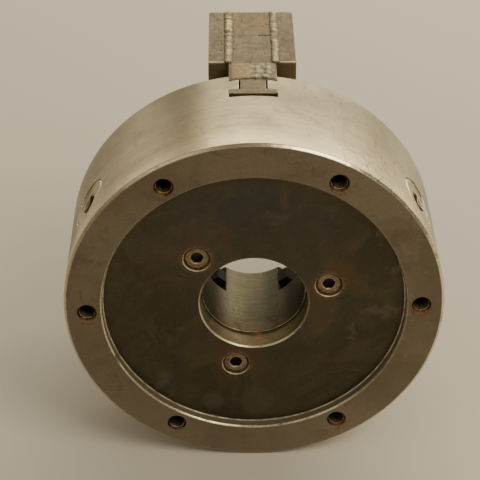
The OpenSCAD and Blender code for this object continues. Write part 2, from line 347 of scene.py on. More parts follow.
def near_spots(n, circle, turn, count, place, drop=0.0):
    """Distance in metres to the nearest of some axes parallel to Y on a circle, all lowered by a
    drop."""
    nearest = None
    for i in range(count):
        angle = math.radians(turn + 360 * i / count)
        dx = n.less(place.side, circle * math.cos(angle))
        dz = n.less(place.height, circle * math.sin(angle) - drop)
        squared = n.plus(n.times(dx, dx), n.times(dz, dz))
        nearest = squared if nearest is None else n.math("MINIMUM", nearest, squared)
    return n.math("SQRT", nearest)


def start_material(name):
    build_groups()
    material = bpy.data.materials.new(name)
    material.use_nodes = True
    material.node_tree.nodes.clear()
    n = Nodes(material.node_tree)
    shader = n.add("ShaderNodeBsdfPrincipled")
    output = n.add("ShaderNodeOutputMaterial")
    n.put(output.inputs["Surface"], shader.outputs[0])
    return material, n, shader


def finish_material(n, shader, base, rough, metal, height, depth, normal=None, coat=None):
    """Connects one surface: colour, roughness, metal share, and relief of a depth in metres."""
    n.put(shader.inputs["Base Color"], base)
    n.put(shader.inputs["Roughness"], rough)
    n.put(shader.inputs["Metallic"], metal)
    inputs = {"Height": height, "Distance": depth, "Strength": 1.0}
    if normal is not None:
        inputs["Normal"] = normal
    bump = n.add("ShaderNodeBump", inputs)
    n.put(shader.inputs["Normal"], bump.outputs[0])
    if coat is not None:
        n.put(shader.inputs["Coat Weight"], coat)
        shader.inputs["Coat Roughness"].default_value = 0.22


def give(node_names, material):
    """Puts one finished material on CAD nodes."""
    for name in node_names:
        mesh = frame["nodes"][name].data
        mesh.materials.clear()
        mesh.materials.append(material)


# ---------------------------------------------------------------- materials

def jaw_way_mask(n, place):
    """One inside the three jaw guideways, behind the rim and the front face."""
    mask = None
    for angle in map(math.radians, JAW_ANGLES):
        sine, cosine = math.sin(angle), math.cos(angle)
        across = n.less(n.times(place.side, sine), n.times(place.height, cosine))
        outward = n.plus(n.times(place.side, cosine), n.times(place.height, sine))
        within = n.fall(n.absolute(across), WAY_HALF_WIDTH - 0.0001, WAY_HALF_WIDTH + 0.00005)
        inside = n.times(within, n.rise(outward, 0.020, 0.024))
        mask = inside if mask is None else n.most(mask, inside)
    mask = n.times(mask, n.band(place.depth, WAY_REAR, BODY_LENGTH - 0.0006, 0.0002))
    return n.times(mask, n.fall(place.radius, RIM_RADIUS - 0.0010, RIM_RADIUS - 0.0004))


def body_material(finish):
    """Ground rim worn bright at its edges, with a painted highlight along its rear edge and on its
    right flank and painted shade away from the rear edge; dull rear ring lightened towards the
    bottom as painted light; turned bore lightened near its mouth as painted light and darkened at
    its sides as painted shade; guideways and hole insides painted dark as shade; painted highlights
    on chamfers facing up and right; rusty holes."""
    material, n, shader = start_material("ground body steel")
    place = n.place()
    radius, depth, height, side = place
    where = n.coordinates()
    coarse = n.lathe(520.0, 1.3, 4.0)
    fine = n.lathe(5200.0, 6.0, 2.0)
    stain = n.stains(17.0, 0.54, 0.12, 0.9)
    blotch = n.stains(62.0, 0.60, 0.06, 1.8)
    speckle = n.noise(where, 700.0, 3.0, 0.6)
    scratch = n.scratches(26.0, 0.006, 0.54)
    nick = n.scratches(75.0, 0.016, 0.60)
    pits = n.pits(420.0, 0.20, 0.60)
    dents = n.pits(150.0, 0.17, 0.56)
    edge, edge_normal = n.edges(0.0009, 0.10, 260.0)
    rust, rust_shade = n.rust(210.0, 0.75)
    spots, spots_shade = n.rust(120.0, 0.30)

    streak = n.rise(n.plus(n.times(coarse, 0.55), n.times(fine, 0.45)), 0.34, 0.66)
    rim = n.mix(streak, finish.rim_dark, finish.rim_light)
    cloud = n.stains(8.5, 0.50, 0.17, 0.7)
    rim = n.tints(
        rim,
        (cloud, 0.52, (0.262, 0.224, 0.158)),
        (stain, 0.48, (0.230, 0.194, 0.136)),
        (blotch, 0.46, (0.165, 0.136, 0.090)))
    wander = n.times(n.less(n.noise(where, 24.0, 4.0), 0.5), 0.030)
    from_edge = n.plus(depth, wander)
    # painted highlight: a band along the rim's rear edge is lightened; painted shade: the rim
    # darkens away from that edge
    rear_band_highlight = n.times(n.rise(from_edge, 0.0190, 0.0015), n.rise(depth, 0.0, 0.0004))
    rim = n.tints(
        rim,
        (rear_band_highlight, 0.60, (0.72, 0.630, 0.410)),
        (n.rise(from_edge, 0.012, 0.052), 0.55, (0.225, 0.202, 0.145)))
    # painted highlight: patches on the rim's right flank are lightened
    right_flank_highlight = n.times(n.rise(side, 0.015, 0.060), n.rise(n.noise(where, 13.0, 3.0), 0.42, 0.60))
    rim = n.tint(rim, right_flank_highlight, 0.30, (0.66, 0.59, 0.455))

    ring = n.mix(n.rise(speckle, 0.20, 0.80), finish.ring_dark, finish.ring_light)
    ring = n.tints(
        ring,
        (streak, 0.30, finish.ring_light),
        (cloud, 0.25, (0.230, 0.192, 0.142)),
        (stain, 0.36, (0.118, 0.096, 0.066)),
        (blotch, 0.32, (0.115, 0.088, 0.057)),
        # painted light: the ring is lightened towards the bottom
        (n.rise(height, -0.040, -0.095), 0.35, (0.330, 0.285, 0.225)),
        (scratch, 0.60, (0.38, 0.34, 0.26)))
    bright_specks = n.times(n.rise(speckle, 0.66, 0.72), n.rise(radius, 0.088, 0.0985))
    ring = n.tint(ring, bright_specks, 0.6, (0.55, 0.50, 0.40))

    bore = n.mix(streak, finish.bore_dark, finish.bore_light)
    # painted light and shade: the bore is lightened towards its rear mouth and darkened at its left
    # and right walls
    bore = n.tints(
        bore,
        (n.rise(depth, 0.030, 0.018), 0.6, (0.19, 0.155, 0.09)),
        (n.rise(n.absolute(side), 0.0100, 0.0225), 0.75, (0.040, 0.037, 0.027)))
    low_rust = n.times(n.rise(depth, 0.034, 0.018), n.rise(height, -0.008, -0.020), spots)
    bore = n.mix(low_rust, bore, spots_shade)

    is_rim = n.rise(radius, RIM_RADIUS - 0.0016, RIM_RADIUS - 0.0008)
    is_bore = n.fall(radius, BODY_BORE + 0.0002, BODY_BORE + 0.0010)
    is_front = n.rise(depth, BODY_LENGTH - 0.0010, BODY_LENGTH - 0.0004)
    worked = n.most(is_rim, is_front)
    base = n.mix(worked, ring, rim)
    base = n.mix(n.times(is_bore, n.less(1.0, is_front)), base, bore)

    hole = near_spots(n, HOLE_CIRCLE, HOLE_TURN, HOLE_COUNT, place)
    facing = n.split(n.coordinates("Normal"))
    inside = n.times(n.fall(hole, HOLE_MOUTH, HOLE_MOUTH + 0.0003), n.rise(depth, 0.00005, 0.0002))
    above_end = n.fall(depth, HOLE_DEPTH, HOLE_DEPTH + 0.002)
    inside = n.times(inside, above_end)
    lip = n.times(n.rise(facing[2], 0.25, 0.60), n.rise(depth, 0.0014, 0.0009))
    # painted shade: the insides of the tapped holes are darkened nearly to black
    base = n.tints(
        base,
        (inside, 0.93, (0.018, 0.014, 0.009)),
        (n.times(inside, lip), 0.75, n.mix(rust, (0.26, 0.20, 0.12), rust_shade)))
    below = near_spots(n, HOLE_CIRCLE, HOLE_TURN, HOLE_COUNT, place, 0.0019)
    around_hole = n.times(n.fall(below, HOLE_MOUTH - 0.0007, HOLE_MOUTH + 0.0025), rust)
    patchy = n.rise(n.noise(where, 60.0, 2.0), 0.40, 0.58)
    around_hole = n.times(around_hole, above_end, n.less(1.0, is_rim), patchy)
    base = n.tint(base, around_hole, 0.70, rust_shade)

    register = n.times(n.band(radius, REGISTER_RADIUS - 0.0014, REGISTER_RADIUS + 0.0003, 0.0002),
                       n.rise(depth, 0.0008, 0.0014))
    base = n.tint(base, register, 0.80, (0.300, 0.262, 0.180))
    tilt = n.absolute(facing[1])
    slope = n.times(n.rise(tilt, 0.93, 0.85), n.rise(tilt, 0.40, 0.55))
    chamfer = n.times(slope, n.rise(hole, HOLE_MOUTH + 0.0009, HOLE_MOUTH + 0.0013))
    # painted highlight: chamfers away from the holes whose normals face up and to the right are
    # lightened as if lit
    rub_marks_and_lit_facing = n.plus(n.times(facing[0], 0.55), n.times(facing[2], 0.85))
    chamfer_highlight = n.times(chamfer, n.rise(n.noise(where, 90.0, 5.0, 0.6), 0.36, 0.50),
                   n.rise(rub_marks_and_lit_facing, -0.05, 0.40, 0.15, 1.0))
    base = n.tint(base, chamfer_highlight, 0.85, (0.80, 0.73, 0.58))
    # painted shade: the jaw guideways are darkened nearly to black
    ways = jaw_way_mask(n, place)
    base = n.tint(base, ways, 0.90, (0.030, 0.025, 0.017))

    clean = n.less(1.0, n.most(n.rise(hole, HOLE_MOUTH + 0.0019, HOLE_MOUTH + 0.0009), ways))
    bright = n.times(edge, clean)
    base = n.tint(base, bright, 0.85, (0.76, 0.71, 0.59))
    nick = n.times(nick, n.rise(side, 0.005, 0.040))
    scuffs = n.scratches(52.0, 0.030, 0.50)
    scuffs = n.times(scuffs, worked, n.rise(side, 0.030, 0.055))
    base = n.tint(base, scuffs, 0.75, (0.150, 0.122, 0.078))
    marks = n.times(n.most(pits, n.most(dents, nick)), worked)
    base = n.tint(base, marks, 0.72, (0.085, 0.064, 0.040))

    rough = n.blend(worked, n.rise(speckle, 0.3, 0.7, 0.40, 0.52),
                    n.rise(fine, 0.3, 0.7, 0.29, 0.40))
    rough = n.plus(rough, n.times(stain, 0.08))
    rough = n.less(rough, n.times(n.most(bright, rear_band_highlight), 0.06), n.times(chamfer_highlight, 0.14))
    rusty = n.most(n.times(low_rust, is_bore), around_hole)
    rough = n.blend(n.most(inside, ways, rusty), rough, 0.72)
    metal = n.math("SUBTRACT", 0.95, n.times(rusty, 0.75), clamp=True)
    metal = n.math("SUBTRACT", metal, n.times(n.most(register, ways), 0.40), clamp=True)
    relief = n.plus(n.times(coarse, 0.06), n.times(fine, 0.18), n.times(speckle, 0.06))
    relief = n.less(relief, n.times(scratch, 0.35), n.times(marks, 1.1))
    finish_material(n, shader, base, rough, metal, relief, 0.00009, edge_normal)
    return material


def cover_material(finish):
    """Dark oily plate: clouded film, a painted blue-grey sheen towards the top, faint round
    smudges, painted highlights on chamfers facing up and right, rust round the screws."""
    material, n, shader = start_material("dark oily cover steel")
    place = n.place()
    radius, depth, height, side = place
    where = n.coordinates()
    coarse = n.lathe(700.0, 1.2, 4.0)
    fine = n.lathe(4200.0, 4.0, 2.0)
    cloud = n.stains(14.0, 0.50, 0.16, 0.8)
    film = n.stains(40.0, 0.55, 0.10, 1.6)
    grit = n.noise(where, 600.0, 4.0, 0.65)
    scratch = n.scratches(30.0, 0.006, 0.57)
    edge, edge_normal = n.edges(0.0006, 0.12, 320.0)
    rust, rust_shade = n.rust(240.0, 0.70)
    speck, _ = n.rust(95.0, 0.18)

    base = n.mix(n.rise(grit, 0.20, 0.80), finish.cover_dark, finish.cover_light)
    base = n.tints(
        base,
        (n.rise(coarse, 0.35, 0.65), 0.18, finish.cover_light),
        (cloud, 0.48, (0.040, 0.035, 0.023)))
    # painted sheen: a blue-grey tone laid on the upper part of the plate, which also gets a coat
    # there
    top_sheen = n.times(n.rise(height, 0.025, 0.070), n.rise(radius, 0.080, 0.060))
    base = n.tints(
        base,
        (top_sheen, 0.85, (0.042, 0.038, 0.042)),
        (n.rise(side, 0.010, 0.065), 0.42, (0.038, 0.034, 0.022)),
        (film, 0.50, (0.118, 0.096, 0.056)))
    scuff = n.stains(24.0, 0.63, 0.05, 2.2)
    base = n.tints(
        base,
        (scuff, 0.38, (0.165, 0.148, 0.104)),
        (speck, 0.40, (0.130, 0.072, 0.034)),
        (scratch, 0.28, (0.17, 0.15, 0.105)))
    smudge = None
    for x, z, size in ((-0.0225, -0.0655, 0.0058), (0.0020, -0.0655, 0.0088)):
        dx = n.less(place.side, x)
        dz = n.less(height, z)
        gap = n.plus(n.length(dx, dz), n.times(n.less(n.noise(where, 130.0), 0.5), 0.004))
        spot = n.fall(gap, size - 0.0012, size + 0.0016)
        smudge = spot if smudge is None else n.most(smudge, spot)
    base = n.tint(base, smudge, 0.30, (0.15, 0.14, 0.11))

    screw = near_spots(n, SCREW_CIRCLE, SCREW_TURN, SCREW_COUNT, place)
    sunk = n.times(n.fall(screw, SCREW_SEAT, SCREW_SEAT + 0.0002),
                   n.rise(depth, COVER_FACE + 0.0003, COVER_FACE + 0.0008))
    base = n.tint(base, sunk, 0.85, (0.115, 0.075, 0.042))
    ring = n.fall(screw, SCREW_SEAT - 0.0001, SCREW_SEAT + 0.0034)
    rusty = n.times(ring, rust)
    base = n.tint(base, rusty, 0.48, rust_shade)
    brown = n.times(n.rise(screw, 0.034, 0.008), n.rise(n.noise(where, 48.0, 4.0), 0.44, 0.60))
    base = n.tint(base, brown, 0.42, (0.125, 0.074, 0.038))
    is_bore = n.fall(radius, COVER_BORE + 0.0006, COVER_BORE + 0.0009)
    base = n.tint(base, is_bore, 0.9, finish.lip)
    lip_rust = n.times(n.fall(radius, COVER_BORE + 0.0003, COVER_BORE + 0.0013),
                       n.rise(height, 0.004, -0.014), n.rust(150.0, 0.36)[0])
    base = n.tint(base, lip_rust, 0.85, (0.46, 0.20, 0.06))
    not_rim = n.fall(radius, COVER_RADIUS - 0.0012, COVER_RADIUS - 0.0006)
    wear = n.times(edge, not_rim)
    base = n.tint(base, wear, 0.80, (0.70, 0.63, 0.49))
    facing = n.split(n.coordinates("Normal"))
    tilt = facing[1]
    # painted highlight: chamfers whose normals face up and to the right are lightened as if lit,
    # away from the rim
    slope = n.times(n.rise(tilt, -0.93, -0.85), n.rise(tilt, -0.40, -0.55))
    rub_marks_and_lit_facing = n.plus(n.times(facing[0], 0.55), n.times(facing[2], 0.85))
    slope = n.times(slope, n.rise(rub_marks_and_lit_facing, -0.15, 0.35, 0.12, 1.0))
    slope = n.times(slope, not_rim)
    base = n.tint(base, slope, 0.80, (0.74, 0.67, 0.53))

    rough = n.rise(fine, 0.3, 0.7, 0.36, 0.47)
    rough = n.plus(rough, n.times(film, 0.08), n.times(smudge, 0.10))
    rough = n.less(rough, n.times(slope, 0.14))
    rough = n.blend(n.most(rusty, lip_rust), rough, 0.70)
    metal = n.math("SUBTRACT", 0.80, n.times(n.most(rusty, lip_rust), 0.65), clamp=True)
    relief = n.plus(n.times(coarse, 0.10), n.times(fine, 0.12), n.times(grit, 0.12))
    relief = n.less(relief, n.times(scratch, 0.35))
    finish_material(n, shader, base, rough, metal, relief, 0.00008, edge_normal,
                    n.times(top_sheen, 0.35))
    return material


def plain_steel(name, dark, light, rough, rust_amount=0.0, lathe=True, dirt=0.4):
    """Worn machine steel: streaks, stains, bright edges and, where asked, rust."""
    material, n, shader = start_material(name)
    place = n.coordinates()
    stain = n.stains(60.0, 0.54, 0.1, 1.4)
    scratch = n.scratches(60.0, 0.010, 0.52)
    edge, edge_normal = n.edges(0.0006, 0.12, 500.0)
    if lathe:
        grain = n.lathe(3800.0, 4.0, 3.0)
    else:
        grain = n.noise(place, 900.0, 5.0, 0.6)
    base = n.mix(n.rise(grain, 0.35, 0.65), dark, light)
    base = n.mix(n.times(stain, dirt), base, (0.075, 0.058, 0.038))
    base = n.tints(
        base,
        (scratch, 0.4, (0.50, 0.46, 0.38)),
        (edge, 0.75, (0.70, 0.64, 0.52)))
    level = n.plus(n.rise(grain, 0.3, 0.7, rough - 0.06, rough + 0.08), n.times(stain, 0.12))
    metal = 0.92
    if rust_amount:
        rust, rust_shade = n.rust(420.0, rust_amount)
        base = n.tint(base, rust, 0.8, rust_shade)
        level = n.blend(rust, level, 0.74)
        metal = n.less(0.92, n.times(rust, 0.7))
    relief = n.less(grain, n.times(scratch, 0.5))
    finish_material(n, shader, base, level, metal, relief, 0.00006, edge_normal)
    return material


def screw_material():
    """Cap screw heads: worn tan steel with rust in patches, a bright lip round a socket that is
    painted dark as shade.
    """
    material, n, shader = start_material("rusty screw steel")
    place = n.place()
    where = n.coordinates()
    off = near_spots(n, SCREW_CIRCLE, SCREW_TURN, SCREW_COUNT, place)
    grit = n.noise(where, 900.0, 5.0, 0.6)
    stain = n.stains(160.0, 0.52, 0.10, 1.2)
    rust, rust_shade = n.rust(300.0, 0.55)
    edge, edge_normal = n.edges(0.0005, 0.10, 700.0)
    base = n.mix(n.rise(grit, 0.35, 0.65), (0.215, 0.172, 0.118), (0.345, 0.285, 0.200))
    base = n.tint(base, stain, 0.35, (0.110, 0.082, 0.054))
    rusty = n.times(rust, n.rise(off, 0.0030, 0.0050))
    base = n.tint(base, rusty, 0.70, rust_shade)
    lip = n.band(off, SCREW_SOCKET - 0.0003, SCREW_SOCKET + 0.0004, 0.0002)
    base = n.tints(
        base,
        (lip, 0.55, (0.50, 0.44, 0.34)),
        (edge, 0.70, (0.62, 0.55, 0.43)))
    # painted shade: the hexagon socket is darkened
    socket = n.times(n.rise(off, SCREW_SOCKET + 0.0003, SCREW_SOCKET),
                     n.rise(place.depth, SCREW_FACE + 0.0006, SCREW_FACE + 0.0010))
    base = n.tint(base, socket, 0.80, (0.030, 0.023, 0.016))
    rough = n.plus(n.rise(grit, 0.3, 0.7, 0.34, 0.46), n.times(stain, 0.12))
    rough = n.blend(rusty, rough, 0.70)
    metal = n.less(0.92, n.times(rusty, 0.60))
    finish_material(n, shader, base, rough, metal, grit, 0.00006, edge_normal)
    return material


def pinion_material(angle, finish):
    """Ground pinion head with a square socket painted dark as shade, a painted highlight on its
    chamfered rim and painted shade deeper in its bore; turned so that the head's axis points up.
    """
    material, n, shader = start_material(f"pinion steel at {angle}")
    turned = n.turned_up(angle)
    at = n.split(turned)
    dy = n.less(at[1], MOUNTS["key_socket_1"]["pos_m"][1])
    off = n.length(at[0], dy)
    ring = n.noise(n.add("ShaderNodeCombineXYZ", {0: n.times(off, 2600.0)}).outputs[0], 1.0, 3.0)
    grit = n.noise(turned, 800.0, 4.0, 0.6)
    stain = n.stains(90.0, 0.53, 0.1, 1.2)
    edge, edge_normal = n.edges(0.0006, 0.10, 600.0)
    turning = n.rise(n.plus(n.times(ring, 0.5), n.times(grit, 0.5)), 0.38, 0.62)
    base = n.mix(turning, finish.rim_dark, finish.rim_light)
    base = n.tint(base, stain, 0.4, (0.19, 0.155, 0.10))
    # painted shade: the socket in the head is darkened
    socket = n.times(n.rise(off, PINION_SOCKET + 0.0004, PINION_SOCKET),
                     n.rise(at[2], RIM_RADIUS - 0.0022, RIM_RADIUS - 0.0030))
    base = n.tint(base, socket, 0.85, (0.060, 0.046, 0.030))
    # painted shade: the pinion is darkened deeper in its bore
    deep = n.rise(at[2], 0.080, 0.079)
    base = n.tint(base, deep, 0.35, (0.20, 0.17, 0.12))
    # painted highlight: the chamfered rim of the head is lightened
    head_chamfer_highlight = n.times(n.rise(off, PINION_HEAD - 0.0004, PINION_HEAD),
                   n.rise(at[2], RIM_RADIUS - 0.0030, RIM_RADIUS - 0.0024))
    base = n.tint(base, n.most(edge, head_chamfer_highlight), 0.85, (0.86, 0.79, 0.62))
    rough = n.plus(n.rise(grit, 0.3, 0.7, 0.28, 0.38), n.times(stain, 0.12))
    relief = n.plus(n.times(ring, 0.5), n.times(grit, 0.4))
    finish_material(n, shader, base, rough, 0.95, relief, 0.00006, edge_normal)
    return material


def block_material(name, angle, finish, middle):
    """Mill-finished bar with saw grain, scale and handling marks. The middle stack has a browner
    far end and clean ground sides in the guideway; the side blocks have a painted highlight along
    their rear edge."""
    material, n, shader = start_material(name)
    turned = n.turned_up(angle)
    at = n.split(turned)
    across, depth = n.absolute(at[0]), at[1]
    grain = n.noise(n.stretch(turned, (1100.0, 60.0, 1100.0)), 1.0, 4.0, 0.6)
    cut = n.noise(n.stretch(turned, (60.0, 1500.0, 60.0)), 1.0, 2.0, 0.5)
    grit = n.noise(turned, 1400.0, 4.0, 0.65)
    scale_skin = n.stains(130.0, 0.52, 0.12, 1.8)
    cloud = n.stains(34.0, 0.50, 0.16, 0.8)
    scratch = n.scratches(70.0, 0.010, 0.50)
    pits = n.pits(900.0, 0.24, 0.56)
    edge, edge_normal = n.edges(0.0008, 0.12, 420.0)
    rust, _ = n.rust(120.0, 0.30)

    skin = n.plus(n.times(grain, 0.45), n.times(grit, 0.55))
    base = n.mix(n.rise(skin, 0.36, 0.64), finish.block_dark, finish.block_light)
    tilt = n.split(n.coordinates("Normal"))[1]
    base = n.tints(
        base,
        (n.rise(tilt, -0.5, -0.9), 0.75, finish.sawn),
        (scale_skin, 0.28, (0.080, 0.068, 0.048)),
        (cloud, 0.25, (0.19, 0.165, 0.12)))
    if middle:
        warm = n.times(n.rise(depth, JAW_HIGH.y - 0.008, JAW_HIGH.y + 0.010),
                       n.rise(at[2], JAW_HIGH.z - 0.014, JAW_HIGH.z - 0.002, 0.25, 1.0))
        base = n.tint(base, warm, 0.62, finish.heat)
        sweep = n.noise(n.stretch(turned, (30.0, 420.0, 30.0), (0.0, 0.0, 0.6)), 1.0, 3.0, 0.5)
        rub_marks_and_lit_facing = n.times(n.band(depth, 0.098, 0.118, 0.004), n.rise(sweep, 0.45, 0.62))
        base = n.tint(base, rub_marks_and_lit_facing, 0.08, (0.34, 0.29, 0.205))
        grip = n.rise(at[2], JAW_LOW.z + 0.0012, JAW_LOW.z + 0.0004)
        base = n.tint(base, grip, 0.60, (0.048, 0.044, 0.036))
        ground = n.rise(depth, 0.0690, 0.0680)
        base = n.tint(base, ground, 0.45, (0.16, 0.13, 0.085))
    else:
        # painted highlight: the top rear edge of the side blocks is lightened
        rear_edge_highlight = n.times(n.rise(depth, BLOCK_LOW.y + 0.0010, BLOCK_LOW.y + 0.0004),
                            n.rise(at[2], BLOCK_HIGH.z - 0.0012, BLOCK_HIGH.z - 0.0004))
        base = n.tints(
            base,
            (rear_edge_highlight, 0.85, (0.82, 0.74, 0.58)),
            (n.rise(tilt, -0.5, -0.9), 0.30, (0.50, 0.41, 0.26)))
    by_seam = n.rise(n.absolute(n.less(across, JAW_HIGH.x)), 0.0046, 0.0014)
    by_seam = n.times(by_seam, n.rise(depth, BLOCK_LOW.y - 0.003, BLOCK_LOW.y + 0.002))
    by_seam = n.times(by_seam, n.rise(n.noise(turned, 300.0, 3.0), 0.38, 0.58))
    base = n.tints(
        base,
        (by_seam, 0.45, (0.085, 0.060, 0.038)),
        (rust, 0.30, (0.15, 0.085, 0.042)),
        (scratch, 0.35, (0.34, 0.30, 0.23)),
        (pits, 0.6, (0.040, 0.030, 0.020)),
        (edge, 0.75, (0.56, 0.50, 0.40)))
    rough = n.plus(n.rise(grit, 0.3, 0.7, 0.38, 0.52), n.times(scale_skin, 0.10))
    metal = n.less(0.88, n.times(rust, 0.35))
    relief = n.plus(n.times(grain, 0.4), n.times(cut, 0.12), n.times(grit, 0.4))
    relief = n.less(relief, n.times(pits, 0.9), n.times(scratch, 0.4))
    finish_material(n, shader, base, rough, metal, relief, 0.00010, edge_normal)
    return material


def weld_material(finish):
    """Weld metal: lighter with height, partly silvery crowns and brown scale in the hollows, partly
    a painted highlight on the crowns and painted shade in the hollows; tan and cold grey tints,
    soot specks.
    The crown attribute is how far a point stands proud, the side attribute runs across the jaw."""
    material, n, shader = start_material("weld metal")
    place = n.coordinates()
    crown = n.add("ShaderNodeAttribute", attribute_name="crown").outputs["Fac"]
    side = n.add("ShaderNodeAttribute", attribute_name="side").outputs["Fac"]
    lumps = n.noise(place, 700.0, 5.0, 0.65)
    shine = n.plus(n.times(crown, 0.75), n.times(lumps, 0.50))
    skin = n.stains(260.0, 0.50, 0.08, 1.0)
    warm = n.stains(110.0, 0.50, 0.10, 1.2)
    pits = n.pits(1500.0, 0.28, 0.50)
    soot = n.pits(420.0, 0.24, 0.52)
    # partly painted light: crowns are lightened as a painted highlight and hollows darkened as
    # painted shade, besides the scale
    base = n.mix(n.rise(shine, 0.34, 0.90), finish.weld_dark, finish.weld_light)
    on_pad = n.rise(n.split(place)[1], BLOCK_LOW.y, BLOCK_LOW.y - 0.0012)
    tan = n.times(warm, n.times(n.rise(side, 0.25, -0.25, 0.15, 0.70), on_pad))
    base = n.mix(tan, base, (0.270, 0.185, 0.100))
    cold = n.times(n.rise(side, -0.15, 0.30), n.rise(side, 1.05, 0.92), skin)
    base = n.tints(
        base,
        (cold, 0.62, (0.170, 0.172, 0.168)),
        (n.most(pits, soot), 0.75, (0.030, 0.024, 0.018)))
    rough = n.rise(shine, 0.4, 0.95, 0.52, 0.27)
    relief = n.less(lumps, n.times(pits, 0.8))
    finish_material(n, shader, base, rough, 0.92, relief, 0.00022)
    return material


def grime_material():
    """Packed dirt and rust: dull, crumbly, from dark brown to orange."""
    material, n, shader = start_material("packed rusty dirt")
    place = n.coordinates()
    rust, rust_shade = n.rust(380.0, 0.60)
    crumbs = n.noise(place, 1500.0, 5.0, 0.7)
    base = n.mix(n.rise(crumbs, 0.35, 0.65), (0.060, 0.042, 0.026), (0.150, 0.105, 0.062))
    base = n.tint(base, rust, 0.7, rust_shade)
    finish_material(n, shader, base, n.rise(crumbs, 0.3, 0.7, 0.62, 0.82), 0.05, crumbs, 0.00018)
    return material


# ---------------------------------------------------------------- shapes

def turned_to_jaw(points, angle_deg):
    """Takes points as (outward, across, depth) and turns them to a jaw's angle about the Y axis.
    Outward runs along the radius, across to the right when seen from the rear with the jaw up."""
    a = math.radians(angle_deg)
    outward, across, depth = points[..., 0], points[..., 1], points[..., 2]
    x = outward * math.cos(a) + across * math.sin(a)
    z = outward * math.sin(a) - across * math.cos(a)
    return np.stack([x, depth, z], -1)


def grid_faces(rows, columns, round_columns=False, round_rows=False):
    """Quads between neighbouring rows and columns of a grid, closed round where asked."""
    r = np.arange(rows if round_rows else rows - 1)[:, None]
    c = np.arange(columns if round_columns else columns - 1)[None, :]
    e, d = (r + 1) % rows, (c + 1) % columns
    corners = [r * columns + c, r * columns + d, e * columns + d, e * columns + c]
    return np.stack(corners, -1).reshape(-1, 4)


def capped_tube(points):
    """A closed tube from a (rows, columns, 3) grid: its sides wrap, and its ends close on poles."""
    rows, columns = points.shape[:2]
    flat = points.reshape(-1, 3)
    poles = np.stack([points[0].mean(0), points[-1].mean(0)])
    c = np.arange(columns)
    d = (c + 1) % columns
    first = np.full(columns, rows * columns)
    base = (rows - 1) * columns
    near, far = np.stack([first, d, c], -1), np.stack([first + 1, base + c, base + d], -1)
    faces = grid_faces(rows, columns, True).tolist() + near.tolist() + far.tolist()
    return np.concatenate([flat, poles]), faces


def mesh_piece(name, shells, material, angle=None):
    """One object from several closed shells of (vertices, faces), with normals made consistent.
    With a jaw's angle, each point also keeps its height over the jaw's outer end and its place
    across it."""
    vertices, faces, start = [], [], 0
    for points, quads in shells:
        vertices.append(points)
        faces += [[i + start for i in quad] for quad in quads]
        start += len(points)
    mesh = bpy.data.meshes.new(name)
    mesh.from_pydata(np.concatenate(vertices).tolist(), [], faces)
    mesh.validate()
    mesh.update()
    work = bmesh.new()
    work.from_mesh(mesh)
    bmesh.ops.recalc_face_normals(work, faces=work.faces)
    work.to_mesh(mesh)
    work.free()
    mesh.polygons.foreach_set("use_smooth", np.ones(len(mesh.polygons), bool))
    mesh.materials.append(material)
    if angle is not None:
        places = np.empty(len(mesh.vertices) * 3, np.float32)
        mesh.vertices.foreach_get("co", places)
        x, _, z = places.reshape(-1, 3).T
        a = math.radians(angle)
        crown = np.clip((x * math.cos(a) + z * math.sin(a) - JAW_HIGH.z) / CROWN_HEIGHT, 0, 1)
        side = (x * math.sin(a) - z * math.cos(a)) / JAW_HIGH.x
        for label, values in (("crown", crown), ("side", side)):
            attribute = mesh.attributes.new(label, "FLOAT", "POINT")
            attribute.data.foreach_set("value", values.astype(np.float32))
    piece = bpy.data.objects.new(name, mesh)
    bpy.context.scene.collection.objects.link(piece)
    return piece


def smooth_random(rng, count, knots):
    """A smooth random line from -1 to 1: random knots joined by cosine easing."""
    values = rng.uniform(-1, 1, knots + 1)
    at = np.linspace(0, knots, count)
    i = np.minimum(at.astype(int), knots - 1)
    share = (1 - np.cos(np.pi * (at - i))) / 2
    return values[i] * (1 - share) + values[i + 1] * share


def wave_field(rng, u, v, waves, low, high):
    """Sum of sine waves in random directions over u and v in metres, scaled to about -1 to 1."""
    total = np.zeros_like(u)
    for _ in range(waves):
        turn, phase = rng.uniform(0, np.pi), rng.uniform(0, 2 * np.pi)
        length = rng.uniform(low, high)
        total += np.sin(2 * np.pi * (u * np.cos(turn) + v * np.sin(turn)) / length + phase)
    return total / math.sqrt(waves)


